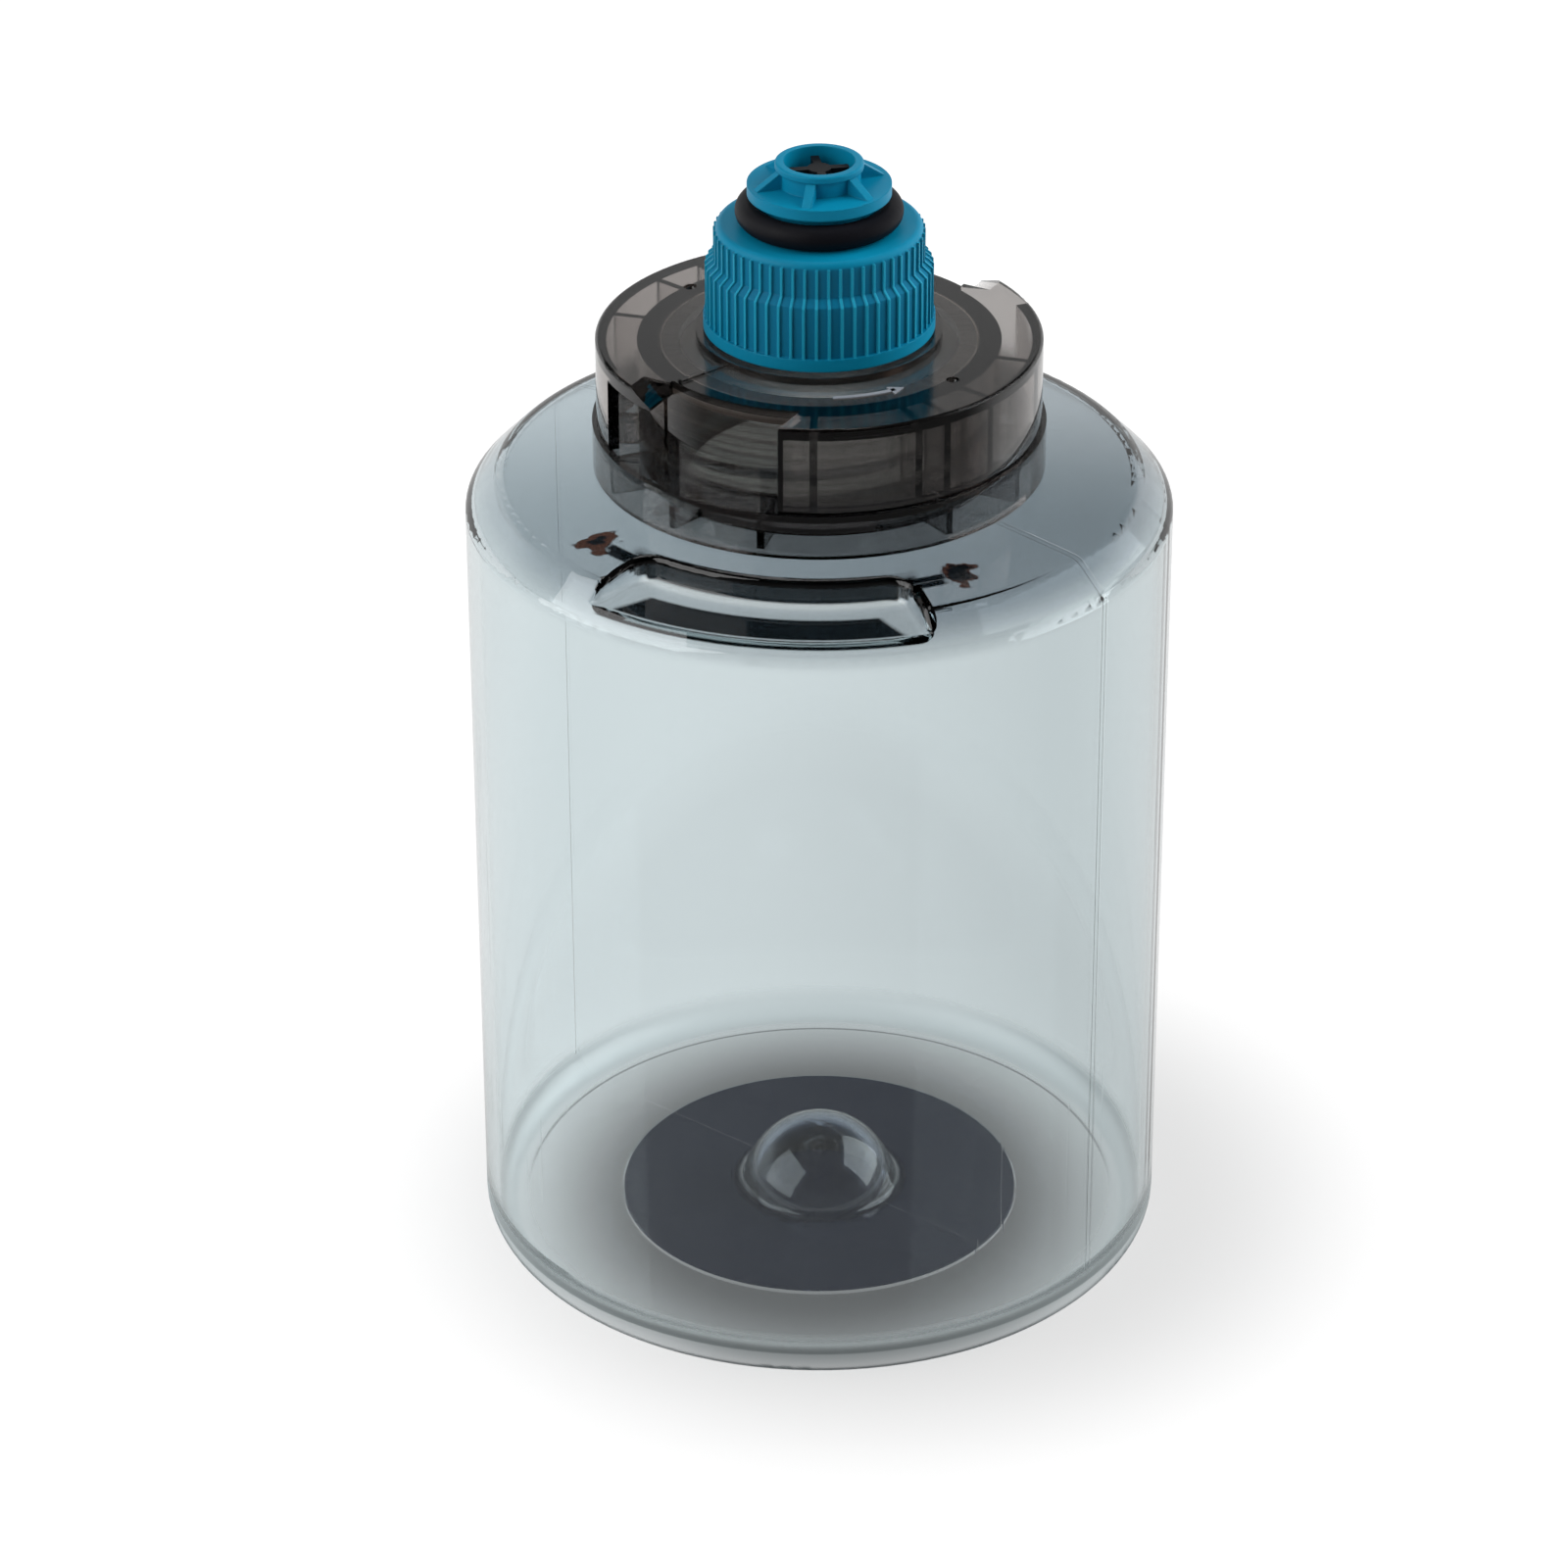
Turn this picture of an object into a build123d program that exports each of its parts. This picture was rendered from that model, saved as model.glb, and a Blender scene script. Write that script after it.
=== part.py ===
from build123d import *
import math
import os

# Clean water tank of a cordless floor washer, in millimetres, +Z up.
# The foot stands on Z = 0, the axis is Z and the latch notch faces -Y.
# Angles are measured round Z from -Y towards +X.

# Bottle
tank_radius = 48.0
wall = 1.8
wall_height = 112.3
shoulder = 4.5
dome_rise = 1.9
neck_radius = 20.6
neck_height = 14.9
foot_round = 4.0
foot_inside_round = 4.0
rim_round = 1.6
crest_round = 2.2
neck_round = 0.8
inside_round = 1.8
push_up_radius = 9.4
push_up_round = 1.2

# Latch notch in the shoulder
notch_back = 35.5
notch_half_angle = 29.0
notch_floor = 2.0
notch_corner = 3.0
notch_round = 0.7
notch_rim_round = 1.0

# Pad under the floor
pad_radius = 28.2
pad_thick = 1.0
pad_lift = 0.3
pad_clear = 0.3

# Seal between neck and cap
neck_gasket_thick = 1.2
neck_gasket_lap = 0.5

# Lock cap
cap_radius = 30.6
collar_step = 0.6
cap_wall = 1.5
cap_gap = 0.3
deck_thick = 2.0
deck_round = 0.5
skirt_clear = 0.8
skirt_wall = 3.0
web_above = 6.2
web_thick = 1.4
slot_width = 19.2
slot_angle = -18.0
channel_end = -58.0
lead_length = 4.0
lead_drop = 1.6
lead_inset = 1.2
rib_thick = 1.0
collar_ribs = (-55.0, -29.5, -4.0, 46.0, 72.0, 98.0)
wall_ribs = (9.5, 37.5, 46.0, 61.0, 86.0)
boss_radius = 16.5
boss_rise = 1.0
pip_radius = 0.9
pip_angle = 61.0
mark_angle = -39.0
mark_width = 0.7
mark_rise = 0.35
spout_radius = 11.2
spout_wall = 2.0
spout_height = 12.4

# Seal between spout and valve cap
spout_gasket_thick = 2.0

# Valve cap
grip_clear = 0.8
grip_wall_low = 2.95
grip_wall_high = 1.8
grip_tooth = 0.3
grip_count = 56
lip_height = 1.7
lip_extra = 0.25
lip_gap = 0.4
waist_low = 8.9
waist_rise = 1.0
valve_deck = 1.8
valve_round = 0.9

# Nozzle
groove_height = 4.1
oring_wire = 3.4
oring_stretch = 0.05
oring_radius = 9.5
flange_radius = 9.6
flange_thick = 1.5
nozzle_tube = 5.5
nozzle_top_radius = 5.9
nozzle_top_thick = 0.9
nozzle_top_round = 0.3
nozzle_rise = 3.1
nozzle_bore = 4.75
nozzle_ribs = 6
nozzle_rib_thick = 1.3
nozzle_rib_inset = 0.4

# Valve inside
seat_bore = 4.0
seat_thick = 2.7
seat_sink = 0.4
chamber_radius = 6.4
fit_clear = 0.05
vane_thick = 1.1
vane_below_top = 1.0
poppet_core = 1.6
disc_radius = 5.4
disc_thick = 1.4
poppet_seal_thick = 0.8
stem_tail = 1.2
cage_wall = 1.2
cage_floor = 1.2
cage_depth = 8.0
cage_spigot = 1.6
cage_window = 4.5
spring_wire = 0.7
spring_radius = 3.6
spring_turns = 5
spring_gap = 0.05

# Depth by which joined parts of one moulding run into each other
root = 0.2


def ring(outer, inner, low, high):
    """Plain ring between two heights."""
    return Pos(0, 0, low) * extrude(Circle(outer) - Circle(inner), high - low)


def rod(radius, low, high):
    """Plain round bar between two heights."""
    return Pos(0, 0, low) * extrude(Circle(radius), high - low)


def turned(face):
    """Solid of revolution of a face drawn as (radius, height)."""
    return revolve(Plane.XZ * face, Axis.Z, 360)


def sector(first, last, reach):
    """Plan of a wedge of a disc from one angle to another."""
    steps = 8
    span = last - first
    stretch = reach / math.cos(math.radians(span / steps / 2))
    rim = []
    for k in range(steps + 1):
        angle = math.radians(first + span * k / steps)
        rim.append((stretch * math.sin(angle), -stretch * math.cos(angle)))
    return make_face(Polyline((0, 0), *rim, close=True))


def spoke(angle, inner, outer, thick):
    """Plan of a radial rib between two radii."""
    bar = Rectangle(thick, outer - inner)
    return Rot(0, 0, angle) * Pos(0, -(inner + outer) / 2) * bar


def layer(plan, low, high):
    """Plan raised between two heights."""
    return Pos(0, 0, low) * extrude(plan, high - low, dir=(0, 0, 1))


def round_corner(face, radius, height, size):
    """Rounds the corner of a profile nearest to a point."""
    corner = face.vertices().sort_by_distance((radius, height, 0))[0]
    return fillet(corner, size)


# Heights that follow from the sizes above
pad_seat = pad_lift + pad_thick
crest_radius = tank_radius - shoulder
crest_z = wall_height + shoulder
neck_z = crest_z + dome_rise
lip_z = neck_z + neck_height
notch_z = wall_height + notch_floor
deck_low = lip_z + neck_gasket_thick
deck_z = deck_low + deck_thick
boss_z = deck_z + boss_rise
spout_z = deck_z + spout_height
valve_low = spout_z + spout_gasket_thick
valve_z = valve_low + valve_deck
flange_z = valve_z + groove_height
flange_top = flange_z + flange_thick
nozzle_z = flange_top + nozzle_rise
seat_z = flange_top - seat_thick - seat_sink
disc_top = seat_z - poppet_seal_thick
disc_low = disc_top - disc_thick
cage_low = valve_low - cage_depth
cage_inner = chamber_radius + cage_wall + fit_clear

# The dome is part of a sphere through the crest and the foot of the neck.
dome_center = (crest_radius**2 + crest_z**2 - neck_radius**2 - neck_z**2) / (2 * (crest_z - neck_z))
dome_radius = math.hypot(crest_radius, crest_z - dome_center)
skirt_inner = neck_radius + skirt_clear
skirt_outer = skirt_inner + skirt_wall
collar_z = dome_center + math.sqrt(dome_radius**2 - cap_radius**2) + cap_gap
skirt_z = neck_z + cap_gap
web_z = collar_z + web_above


def dome_height(radius):
    """Height of the shoulder dome at a radius."""
    return dome_center + math.sqrt(dome_radius**2 - radius**2)


def notch_plan():
    """Plan of the latch notch, with its back corners rounded."""
    outline = Sketch() + sector(-notch_half_angle, notch_half_angle, tank_radius + 10) - Circle(notch_back)
    corners = outline.vertices().filter_by(lambda v: math.hypot(v.X, v.Y) < notch_back + 1)
    return fillet(corners, notch_corner)


def notch_inside():
    """The wall carried round the notch on the inside of the bottle, with its lower edge rounded."""
    block = layer(offset(notch_plan(), wall), notch_z - wall, lip_z)
    return fillet(block.faces().sort_by(Axis.Z)[0].edges(), wall + notch_round)


def notch_edges(solid):
    """Edges round the floor of the notch, and those where its walls meet the shoulder."""
    base = []
    rims = []
    for edge in solid.edges():
        middle = edge @ 0.5
        angle = abs(math.degrees(math.atan2(middle.X, -middle.Y)))
        beside = angle < notch_half_angle + 5 and middle.Z < neck_z
        if abs(middle.Z - notch_z) < 0.01:
            base.append(edge)
        elif beside and middle.Z > notch_z and abs((edge % 0.5).Z) < 0.9:
            rims.append(edge)
    return base, rims


def bottle_profile():
    """Half outline of the outside of the bottle, from the push-up dome to the lip."""
    recess = pad_radius + pad_clear
    top = pad_seat + push_up_radius
    diagonal = push_up_radius * math.sqrt(0.5)
    middle = (crest_radius + neck_radius) / 2
    edges = Curve()
    edges += ThreePointArc((0, top), (diagonal, pad_seat + diagonal), (push_up_radius, pad_seat))
    edges += Polyline(
        (push_up_radius, pad_seat),
        (recess, pad_seat),
        (recess, 0),
        (tank_radius, 0),
        (tank_radius, wall_height),
        (crest_radius, crest_z),
    )
    edges += ThreePointArc((crest_radius, crest_z), (middle, dome_height(middle)), (neck_radius, neck_z))
    edges += Polyline((neck_radius, neck_z), (neck_radius, lip_z), (0, lip_z), (0, top))
    return make_face(edges)


def build_tank_shell():
    plain = bottle_profile()
    whole = Sketch() + plain + mirror(plain, Plane.YZ)
    hollow = offset(whole, -wall, kind=Kind.INTERSECTION)
    floor_z = pad_seat + wall
    half = Pos(0, floor_z) * Rectangle(2 * tank_radius, 2 * lip_z, align=Align.MIN)
    inner = hollow & half
    inner = round_corner(inner, tank_radius - wall, floor_z, foot_inside_round)
    inner = round_corner(inner, push_up_radius + wall, floor_z, push_up_round)
    inner = round_corner(inner, tank_radius - wall, wall_height - wall / 2, inside_round)
    inner = round_corner(inner, crest_radius - wall / 2, crest_z - wall, inside_round)
    outer = round_corner(plain, tank_radius, 0, foot_round)
    outer = round_corner(outer, tank_radius, wall_height, rim_round)
    outer = round_corner(outer, crest_radius, crest_z, crest_round)
    outer = round_corner(outer, neck_radius, neck_z, neck_round)
    outer = round_corner(outer, push_up_radius, pad_seat, push_up_round)
    body = turned(outer) - layer(notch_plan(), notch_z, lip_z)
    base, rims = notch_edges(body)
    body = fillet(rims, notch_rim_round)
    base, rims = notch_edges(body)
    body = fillet(base, notch_round)
    cavity = turned(inner) - notch_inside()
    bore = rod(neck_radius - wall, neck_z - wall, lip_z + 1)
    return body - cavity - bore


def build_base_pad():
    return rod(pad_radius, pad_lift, pad_seat)


def build_neck_gasket():
    return ring(neck_radius + neck_gasket_lap, neck_radius - wall, lip_z, deck_low)


def entry_plan():
    """Plan of the way in for the machine's lug: a parallel slot outside the skirt."""
    depth = cap_radius
    plate = Pos(0, -depth / 2 - skirt_outer / 2) * Rectangle(slot_width, depth)
    return Rot(0, 0, slot_angle) * (plate - Circle(skirt_outer))


def channel_plan():
    """Plan of the way round under the rim, from the slot to its end wall."""
    return sector(channel_end, slot_angle, cap_radius + 1) - Circle(skirt_outer)


def slot_lead():
    """Sloping lead on the rim's end beside the slot."""
    side = -slot_width / 2
    outline = Polyline(
        (side, deck_z - lead_drop),
        (side + 1, deck_z - lead_drop),
        (side + 1, deck_z + 1),
        (side - lead_length, deck_z + 1),
        (side - lead_length, deck_z),
        close=True,
    )
    wedge = extrude(Plane.XZ.offset(skirt_outer - lead_inset) * make_face(outline), cap_radius)
    wedge -= rod(skirt_outer, deck_low - 1, deck_z + 2)
    return Rot(0, 0, slot_angle) * wedge


def build_lock_cap():
    rim_radius = cap_radius - collar_step
    rim_inner = rim_radius - cap_wall
    collar_inner = cap_radius - cap_wall
    web_low = web_z - web_thick
    skirt = Circle(skirt_outer) - Circle(skirt_inner)

    # Below the web: collar, skirt and the ribs between them
    collar = Circle(cap_radius) - Circle(collar_inner)
    low_ribs = [
        spoke(angle + turn, skirt_outer - root, collar_inner + root, rib_thick)
        for turn in (0, 180)
        for angle in collar_ribs
    ]
    cap = layer(collar, collar_z, skirt_z)
    cap += layer(collar + skirt + low_ribs, skirt_z, web_low)
    cap += ring(cap_radius, skirt_inner, web_low, web_z)

    # Above the web: the wall with the two ways for the lugs cut out of it
    ways = [Rot(0, 0, turn) * entry_plan() for turn in (0, 180)]
    channels = [Rot(0, 0, turn) * channel_plan() for turn in (0, 180)]
    high_ribs = [
        spoke(angle + turn, skirt_outer - root, rim_inner + root, rib_thick)
        for turn in (0, 180)
        for angle in wall_ribs
    ]
    wall_plan = (Circle(rim_radius) - Circle(rim_inner)) + high_ribs - ways - channels + skirt
    cap += layer(wall_plan, web_z, deck_low)

    # Deck with its rounded rim, boss and spout
    deck = ring(rim_radius, spout_radius - spout_wall, deck_low, deck_z)
    deck = fillet(deck.edges().group_by(Axis.Z)[-1].sort_by(SortBy.RADIUS)[-1], deck_round)
    deck -= [layer(way, deck_low - 1, deck_z + 1) for way in ways]
    deck += ring(boss_radius, spout_radius, deck_z, boss_z)
    deck += ring(spout_radius, spout_radius - spout_wall, deck_z, spout_z)
    cap += deck

    # Leads, pips and the index mark
    for turn in (0, 180):
        cap -= Rot(0, 0, turn) * slot_lead()
        pip = Pos(0, -(skirt_inner + skirt_outer) / 2, deck_z) * Sphere(pip_radius)
        cap -= Rot(0, 0, turn + pip_angle) * pip
    mark = spoke(mark_angle, boss_radius - root, skirt_outer - deck_round, mark_width)
    return cap + layer(mark, deck_z, deck_z + mark_rise)


def build_spout_gasket():
    return ring(spout_radius + grip_clear / 2, spout_radius - spout_wall, spout_z, valve_low)


def grip_bore():
    return spout_radius + grip_clear


def valve_profile(low_radius, high_radius):
    """Half outline of the valve cap's outside, with the waist between two radii."""
    low = boss_z + lip_gap
    waist = low + waist_low
    edges = Polyline(
        (0, low),
        (low_radius, low),
        (low_radius, waist),
        (high_radius, waist + waist_rise),
        (high_radius, valve_z),
        (0, valve_z),
        close=True,
    )
    face = make_face(edges)
    return round_corner(face, high_radius, valve_z, valve_round)


def grip_star():
    """Toothed disc that leaves one rib for each tooth of the grip."""
    crest = grip_bore() + grip_wall_low + grip_tooth + 1
    valley = 0.4 * crest
    pitch = 360 / grip_count
    points = []
    for k in range(grip_count):
        for share, radius in ((0.30, valley), (0.39, crest), (0.61, crest), (0.70, valley)):
            angle = math.radians((k + share) * pitch)
            points.append((radius * math.sin(angle), -radius * math.cos(angle)))
    return make_face(Polyline(*points, close=True))


def build_valve_cap():
    bore = grip_bore()
    low = boss_z + lip_gap
    core = turned(valve_profile(bore + grip_wall_low, bore + grip_wall_high))
    teeth = turned(valve_profile(bore + grip_wall_low + grip_tooth, bore + grip_wall_high + grip_tooth))
    blades = Pos(0, 0, low + lip_height) * extrude(grip_star(), valve_z - valve_round - low - lip_height)
    cap = core + (teeth & blades)
    cap += ring(bore + grip_wall_low + grip_tooth + lip_extra, bore, low, low + lip_height)
    cap -= rod(bore, low - 1, valve_low)
    cap += rod(oring_radius - oring_wire / 2 - oring_stretch, valve_low, flange_z)
    cap += rod(flange_radius, flange_z, flange_top)
    cap += rod(nozzle_tube, flange_top, nozzle_z)
    rim = rod(nozzle_top_radius, nozzle_z - nozzle_top_thick, nozzle_z)
    cap += fillet(rim.edges().group_by(Axis.Z)[-1], nozzle_top_round)
    fin_low = flange_top - root
    fin_top = nozzle_z - nozzle_top_thick
    fin = Polyline(
        (nozzle_tube - root, fin_low),
        (flange_radius - nozzle_rib_inset, fin_low),
        (nozzle_top_radius - root, fin_top),
        (nozzle_tube - root, fin_top),
        close=True,
    )
    blade = extrude(Plane.XZ * make_face(fin), nozzle_rib_thick / 2, both=True)
    for k in range(nozzle_ribs):
        cap += Rot(0, 0, -90 + k * 360 / nozzle_ribs) * blade
    cap += ring(chamber_radius + cage_wall, chamber_radius, valve_low - cage_spigot, valve_low)
    cap -= rod(chamber_radius, valve_low - cage_spigot - 1, seat_z)
    cap -= rod(seat_bore, seat_z - 1, nozzle_z)
    cap -= rod(nozzle_bore, seat_z + seat_thick, nozzle_z + 1)
    return cap


def build_nozzle_oring():
    center = valve_z + oring_wire / 2
    return Pos(0, 0, center) * Torus(oring_radius, oring_wire / 2)


def build_valve_poppet():
    vane_top = nozzle_z - vane_below_top
    cross = Rectangle(2 * seat_bore, vane_thick) + Rectangle(vane_thick, 2 * seat_bore)
    vanes = (cross & Circle(seat_bore - fit_clear)) + Circle(poppet_core)
    poppet = Rot(0, 0, 20) * Pos(0, 0, disc_top) * extrude(vanes, vane_top - disc_top)
    poppet += rod(disc_radius, disc_low, disc_top)
    poppet += rod(poppet_core, cage_low - stem_tail, disc_low)
    return poppet


def build_poppet_seal():
    return ring(disc_radius, seat_bore, disc_top, seat_z)


def build_spring_cage():
    outer = cage_inner + cage_wall
    cage = ring(outer, cage_inner, cage_low, valve_low)
    cage += ring(outer, poppet_core + fit_clear, cage_low, cage_low + cage_floor)
    window_low = cage_low + cage_floor
    for angle in (45, 135):
        plate = Rectangle(cage_window, 3 * outer)
        cage -= Rot(0, 0, angle) * Pos(0, 0, window_low) * extrude(plate, cage_window)
    return cage


def build_valve_spring():
    low = cage_low + cage_floor + spring_wire / 2 + spring_gap
    high = disc_low - spring_wire / 2 - spring_gap
    path = Pos(0, 0, low) * Helix((high - low) / spring_turns, high - low, spring_radius)
    section = Plane(path @ 0, z_dir=path % 0) * Circle(spring_wire / 2)
    return sweep(section, path)


pieces = {
    "tank_shell": build_tank_shell(),
    "base_pad": build_base_pad(),
    "neck_gasket": build_neck_gasket(),
    "lock_cap": build_lock_cap(),
    "spout_gasket": build_spout_gasket(),
    "valve_cap": build_valve_cap(),
    "nozzle_oring": build_nozzle_oring(),
    "valve_poppet": build_valve_poppet(),
    "poppet_seal": build_poppet_seal(),
    "spring_cage": build_spring_cage(),
    "valve_spring": build_valve_spring(),
}

os.makedirs("parts", exist_ok=True)
for name, shape in pieces.items():
    export_step(shape, f"parts/{name}.step")
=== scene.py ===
# %% [markdown]
# # A clean water tank, dressed for the camera
# The model arrives from CAD as a fixed frame: every wall, rib and seal is already the right size and in
# the right place, in metres. Blender's share is the look of it: the studio, the camera, the clear
# plastics, and the small moulded detail that is too fine for the solids.

# %% Load the frame
import math

import bpy
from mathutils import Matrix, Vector

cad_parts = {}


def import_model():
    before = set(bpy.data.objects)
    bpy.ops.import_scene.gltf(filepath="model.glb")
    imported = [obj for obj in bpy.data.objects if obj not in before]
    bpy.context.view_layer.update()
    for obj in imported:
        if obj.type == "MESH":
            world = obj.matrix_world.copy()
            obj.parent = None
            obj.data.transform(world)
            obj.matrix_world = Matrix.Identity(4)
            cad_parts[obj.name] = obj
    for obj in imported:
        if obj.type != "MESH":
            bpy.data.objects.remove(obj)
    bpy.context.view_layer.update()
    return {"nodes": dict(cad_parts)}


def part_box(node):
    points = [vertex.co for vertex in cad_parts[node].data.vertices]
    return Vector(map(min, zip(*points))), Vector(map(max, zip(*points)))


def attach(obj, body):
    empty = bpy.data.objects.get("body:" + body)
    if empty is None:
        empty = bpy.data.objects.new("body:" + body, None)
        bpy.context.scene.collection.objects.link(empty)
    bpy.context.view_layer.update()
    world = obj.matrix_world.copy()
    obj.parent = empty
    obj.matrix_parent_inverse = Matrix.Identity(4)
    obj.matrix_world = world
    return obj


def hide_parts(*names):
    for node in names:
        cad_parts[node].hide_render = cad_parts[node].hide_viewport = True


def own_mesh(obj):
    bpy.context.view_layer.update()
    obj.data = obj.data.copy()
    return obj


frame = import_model()
bpy.ops.object.select_all(action="DESELECT")
print("nodes:", sorted(frame["nodes"]))

# %% [markdown]
# ## The camera
# A camera is placed by what it sees. The ellipses of the foot, cap and nozzle in the picture give its
# height and distance: it looks down at about 29 degrees from 0.82 m, through a 135 mm lens, from a
# little to the right of the latch notch. The tank stands right of the middle of the frame, which is a
# small sideways shift of the lens and not a turn of the camera.

# %% Camera
AIM = Vector((0.0, 0.0, 0.0676))
DISTANCE = 0.8196
AZIMUTH = math.radians(11.0)
ELEVATION = math.radians(29.31)
SENSOR_WIDTH = 36.0
LENS = 135.0
PICTURE_WIDTH = 1600
PIXELS_ASIDE = 36

away = Vector((
    math.sin(AZIMUTH) * math.cos(ELEVATION),
    -math.cos(AZIMUTH) * math.cos(ELEVATION),
    math.sin(ELEVATION),
))
camera_data = bpy.data.cameras.new("camera")
camera_data.sensor_width = SENSOR_WIDTH
camera_data.lens = LENS
camera_data.shift_x = -PIXELS_ASIDE / PICTURE_WIDTH
camera_data.clip_start = 0.01
camera = bpy.data.objects.new("camera", camera_data)
bpy.context.scene.collection.objects.link(camera)
camera.location = AIM + DISTANCE * away
camera.rotation_euler = (-away).to_track_quat("-Z", "Y").to_euler()
bpy.context.scene.camera = camera
bpy.context.scene.view_settings.view_transform = "Standard"
print("camera at", tuple(round(v, 4) for v in camera.location))

# %% [markdown]
# ## Helpers for node trees
# A material is a graph. A few short helpers keep the cells below readable: some add a node with its
# values set and give back its output, one joins two sockets, one starts a material, and one starts a
# group that several materials can share.


# %% Node helpers
def add_node(tree, kind, **values):
    """Adds a node. A keyword sets an input of that name, or a property of the node."""
    node = tree.nodes.new(kind)
    for name, value in values.items():
        label = name.replace("_", " ")
        if label in node.inputs:
            node.inputs[label].default_value = value
        else:
            setattr(node, name, value)
    return node


def join(tree, source, target):
    """Links an output to an input, or sets the input where the source is a plain number."""
    if isinstance(source, (int, float)):
        target.default_value = source
    else:
        tree.links.new(source, target)


def calculate(tree, operation, *terms):
    """A Math node: each term is a socket or a number."""
    node = add_node(tree, "ShaderNodeMath", operation=operation)
    for slot, term in zip(node.inputs, terms):
        join(tree, term, slot)
    return node.outputs[0]


def every(tree, *terms):
    """The product of several masks."""
    result = terms[0]
    for term in terms[1:]:
        result = calculate(tree, "MULTIPLY", result, term)
    return result


def stretch(tree, value, low, high, to_low=0.0, to_high=1.0):
    """A Map Range node with soft ends."""
    node = add_node(tree, "ShaderNodeMapRange", interpolation_type="SMOOTHSTEP")
    join(tree, value, node.inputs["Value"])
    node.inputs["From Min"].default_value = low
    node.inputs["From Max"].default_value = high
    node.inputs["To Min"].default_value = to_low
    node.inputs["To Max"].default_value = to_high
    return node.outputs["Result"]


def before(tree, value, edge):
    """A mask that falls from one to zero over a range of a value."""
    return stretch(tree, value, *edge, 1.0, 0.0)


def between(tree, value, rise, fall):
    """A mask that rises over one range of a value and falls over a later one."""
    return every(tree, stretch(tree, value, *rise), before(tree, value, fall))


def pick(tree, factor, first, second):
    """A number between two others."""
    node = add_node(tree, "ShaderNodeMix")
    join(tree, factor, node.inputs["Factor"])
    join(tree, first, node.inputs["A"])
    join(tree, second, node.inputs["B"])
    return node.outputs["Result"]


def blend_colour(tree, factor, first, second):
    """A colour between two others, each a colour or a socket."""
    node = add_node(tree, "ShaderNodeMix", data_type="RGBA")
    join(tree, factor, node.inputs["Factor"])
    for slot, colour in (("A", first), ("B", second)):
        if isinstance(colour, tuple):
            node.inputs[slot].default_value = (*colour, 1.0)
        else:
            join(tree, colour, node.inputs[slot])
    return node.outputs["Result"]


print("node helpers ready")


# %% Material helpers
def start_material(name, **values):
    """A new material with one Principled shader, whose sockets take the given values."""
    material = bpy.data.materials.new(name)
    material.use_nodes = True
    tree = material.node_tree
    shader = tree.nodes["Principled BSDF"]
    for socket, value in values.items():
        shader.inputs[socket.replace("_", " ")].default_value = value
    return material, tree, shader


def start_group(name, inputs, outputs):
    """A new shader group with number sockets."""
    group = bpy.data.node_groups.new(name, "ShaderNodeTree")
    for label, value in inputs.items():
        socket = group.interface.new_socket(label, in_out="INPUT", socket_type="NodeSocketFloat")
        socket.default_value = value
    for label in outputs:
        group.interface.new_socket(label, in_out="OUTPUT", socket_type="NodeSocketFloat")
    return group, group.nodes.new("NodeGroupInput"), group.nodes.new("NodeGroupOutput")


def use_group(tree, group, **values):
    """A copy of a shared group in a material."""
    node = add_node(tree, "ShaderNodeGroup", node_tree=group)
    for label, value in values.items():
        node.inputs[label].default_value = value
    return node


print("material helpers ready")

# %% [markdown]
# ## The studio
# Clear plastic has hardly any look of its own: it shows what stands around it. The picture looks as if
# it was taken on a white table under soft boxes, with a dark room behind the photographer. So the floor
# and the far side are white to rays that come through the bottle, the lamps hang overhead, and the side
# towards the camera is dark, which draws the dark lines along the edges of the bottle.


# %% What a ray has come through
def seen_by_eye(tree):
    """One for rays of the camera, of reflections and of clear material, zero for light that bounces."""
    paths = add_node(tree, "ShaderNodeLightPath")
    first = calculate(tree, "MAXIMUM", paths.outputs["Is Camera Ray"], paths.outputs["Is Glossy Ray"])
    return calculate(tree, "MAXIMUM", first, paths.outputs["Is Transmission Ray"])


print("ray test ready")

# %% [markdown]
# ## The white table
# The table is met in four ways, and Light Path tells them apart. The camera sees it white, with a painted
# soft shade round the foot of the tank. A reflection finds it bright behind the tank and dark towards the
# camera. A ray that has come through the bottle finds a glow, with a pool of painted shade under the
# tank, painted light that is brighter on the left than on the right, and a thin painted shadow line where
# the far side of the foot meets the table. Light that only bounces finds a plain grey sheet, so little of
# it comes up at the sides of the caps. The glow is an emission, because light of the lamps that reaches
# the table through clear walls takes many samples to come out even.

# %% Table sheet
FRONT = Vector((math.sin(AZIMUTH), -math.cos(AZIMUTH), 0.0))
RIGHT = Vector((math.cos(AZIMUTH), math.sin(AZIMUTH), 0.0))
TABLE_SIZE = 6.0
TABLE_LIFT = 0.00005
TABLE_GREY = (0.60, 0.60, 0.60, 1.0)


def along(tree, position, direction):
    """How far a position lies along a direction."""
    node = add_node(tree, "ShaderNodeVectorMath", operation="DOT_PRODUCT")
    join(tree, position, node.inputs[0])
    node.inputs[1].default_value = direction
    return node.outputs["Value"]


bpy.ops.mesh.primitive_plane_add(size=TABLE_SIZE, location=(0.0, 0.0, TABLE_LIFT))
floor = bpy.context.object
floor.name = "floor"
white_table, tree, shader = start_material("white_table", Roughness=0.9, Specular_IOR_Level=0.0)
shader.inputs["Base Color"].default_value = TABLE_GREY
place = add_node(tree, "ShaderNodeTexCoord").outputs["Object"]
sideways = along(tree, place, RIGHT)
forward = along(tree, place, FRONT)
floor.data.materials.append(white_table)
print("floor", tuple(floor.dimensions))
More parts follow.
